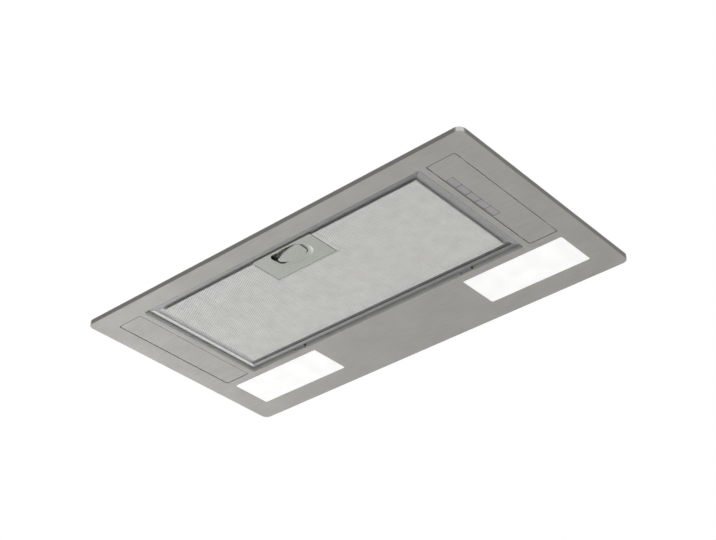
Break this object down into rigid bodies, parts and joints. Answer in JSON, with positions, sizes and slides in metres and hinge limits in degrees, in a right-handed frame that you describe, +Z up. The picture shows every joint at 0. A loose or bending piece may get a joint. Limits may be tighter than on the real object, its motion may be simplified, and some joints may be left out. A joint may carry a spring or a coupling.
{
  "type": "built-in range hood",
  "caption": "Built-in canopy hood: flat steel panel with a recessed latch-down grease filter, corner lights and push buttons, under a sheet-metal blower box with a round duct outlet.",
  "frame": {"origin": "centre of the panel's visible underside", "axes": "+X along the panel towards the buttons, -Y towards the cook and the filter's latch, +Z up into the cabinet"},
  "size_m": [0.526, 0.287, 0.213],
  "materials": {
    "panel_steel": "satin brushed stainless steel",
    "latch_steel": "satin pressed stainless steel",
    "light_lens": "opal diffuser, lit",
    "zinc_sheet": "galvanised sheet steel",
    "fastener": "bright zinc plated",
    "spring_steel": "sprung strip and wire",
    "white_plastic": "moulded",
    "grey_plastic": "moulded, fine grain",
    "dark_plastic": "moulded",
    "button_plastic": "satin moulded",
    "led_board": "white solder mask",
    "blower_plastic": "moulded, fine grain",
    "wheel_steel": "galvanised strip, crimped",
    "motor_steel": "plated steel can",
    "motor_iron": "laminated core and enamelled windings",
    "shaft_steel": "ground",
    "collar_plastic": "moulded",
    "cable_sheath": "matt sheath",
    "filter_frame": "bright rolled strip",
    "filter_mesh": "expanded mesh"
  },
  "bodies": {
    "housing": {"panel": "panel_steel", "panel_nuts": "fastener", "front_wall": "zinc_sheet", "back_wall": "zinc_sheet", "left_end_wall": "zinc_sheet", "right_end_wall": "zinc_sheet", "top_plate": "zinc_sheet", "left_partition": "zinc_sheet", "right_partition": "zinc_sheet", "body_screws": "fastener", "cabinet_spring_clips": "spring_steel", "left_end_cover": "panel_steel", "right_end_cover": "panel_steel", "left_light_lens": "light_lens", "right_light_lens": "light_lens", "left_light_housing": "white_plastic", "right_light_housing": "white_plastic", "left_led_board": "led_board", "right_led_board": "led_board", "led_driver": "white_plastic", "switch_block": "dark_plastic", "terminal_box": "grey_plastic", "terminal_box_cover": "grey_plastic", "terminal_block": "white_plastic", "cable_gland": "grey_plastic", "motor_capacitor": "white_plastic", "capacitor_clip": "zinc_sheet", "scroll_left": "blower_plastic", "scroll_right": "blower_plastic", "scroll_screws": "fastener", "motor_housing": "motor_steel", "motor_end_cover": "motor_steel", "motor_stator": "motor_iron", "motor_bearings": "shaft_steel", "motor_bracket": "zinc_sheet", "outlet_collar": "collar_plastic", "flap_pin": "shaft_steel", "motor_cable": "cable_sheath", "lamp_cables": "cable_sheath", "cable_grommets": "cable_sheath"},
    "filter": {"filter_frame": "filter_frame", "filter_front_mesh": "filter_mesh", "filter_media": "filter_mesh", "filter_rear_mesh": "filter_mesh", "latch_plate": "latch_steel", "filter_hooks": "filter_frame", "filter_rivets": "filter_frame", "latch_springs": "spring_steel"},
    "latch": {"latch_slide": "latch_steel"},
    "fan": {"fan_wheel": "wheel_steel", "wheel_nut": "fastener", "motor_shaft": "shaft_steel", "motor_rotor": "motor_iron"},
    "damper_front": {"damper_flap_front": "collar_plastic"},
    "damper_rear": {"damper_flap_rear": "collar_plastic"},
    "button_1": {"button_1": "button_plastic"},
    "button_2": {"button_2": "button_plastic"},
    "button_3": {"button_3": "button_plastic"},
    "button_4": {"button_4": "button_plastic"},
    "button_5": {"button_5": "button_plastic"}
  },
  "joints": [
    {"name": "filter_swing", "type": "hinge", "parent": "housing", "child": "filter", "pos_m": [0, 0.0517, 0.0046], "axis": [1, 0, 0], "range_deg": [0, 60]},
    {"name": "latch_draw", "type": "slide", "parent": "filter", "child": "latch", "axis": [0, 1, 0], "range_m": [0, 0.006], "stiffness_N_per_m": 300, "springref_m": -0.002, "deforming": ["latch_springs"]},
    {"name": "fan_spin", "type": "hinge", "parent": "housing", "child": "fan", "pos_m": [0, -0.0151, 0.108], "axis": [1, 0, 0], "continuous": true},
    {"name": "damper_front_swing", "type": "hinge", "parent": "housing", "child": "damper_front", "pos_m": [0, 0.045, 0.188], "axis": [-1, 0, 0], "range_deg": [0, 75]},
    {"name": "damper_rear_swing", "type": "hinge", "parent": "housing", "child": "damper_rear", "pos_m": [0, 0.045, 0.188], "axis": [1, 0, 0], "range_deg": [0, 75]},
    {"name": "button_1_press", "type": "slide", "parent": "housing", "child": "button_1", "axis": [0, 0, 1], "range_m": [0, 0.0025], "stiffness_N_per_m": 400, "springref_m": -0.001},
    {"name": "button_2_press", "type": "slide", "parent": "housing", "child": "button_2", "axis": [0, 0, 1], "range_m": [0, 0.0025], "stiffness_N_per_m": 400, "springref_m": -0.001},
    {"name": "button_3_press", "type": "slide", "parent": "housing", "child": "button_3", "axis": [0, 0, 1], "range_m": [0, 0.0025], "stiffness_N_per_m": 400, "springref_m": -0.001},
    {"name": "button_4_press", "type": "slide", "parent": "housing", "child": "button_4", "axis": [0, 0, 1], "range_m": [0, 0.0025], "stiffness_N_per_m": 400, "springref_m": -0.001},
    {"name": "button_5_press", "type": "slide", "parent": "housing", "child": "button_5", "axis": [0, 0, 1], "range_m": [0, 0.0025], "stiffness_N_per_m": 400, "springref_m": -0.001}
  ]
}
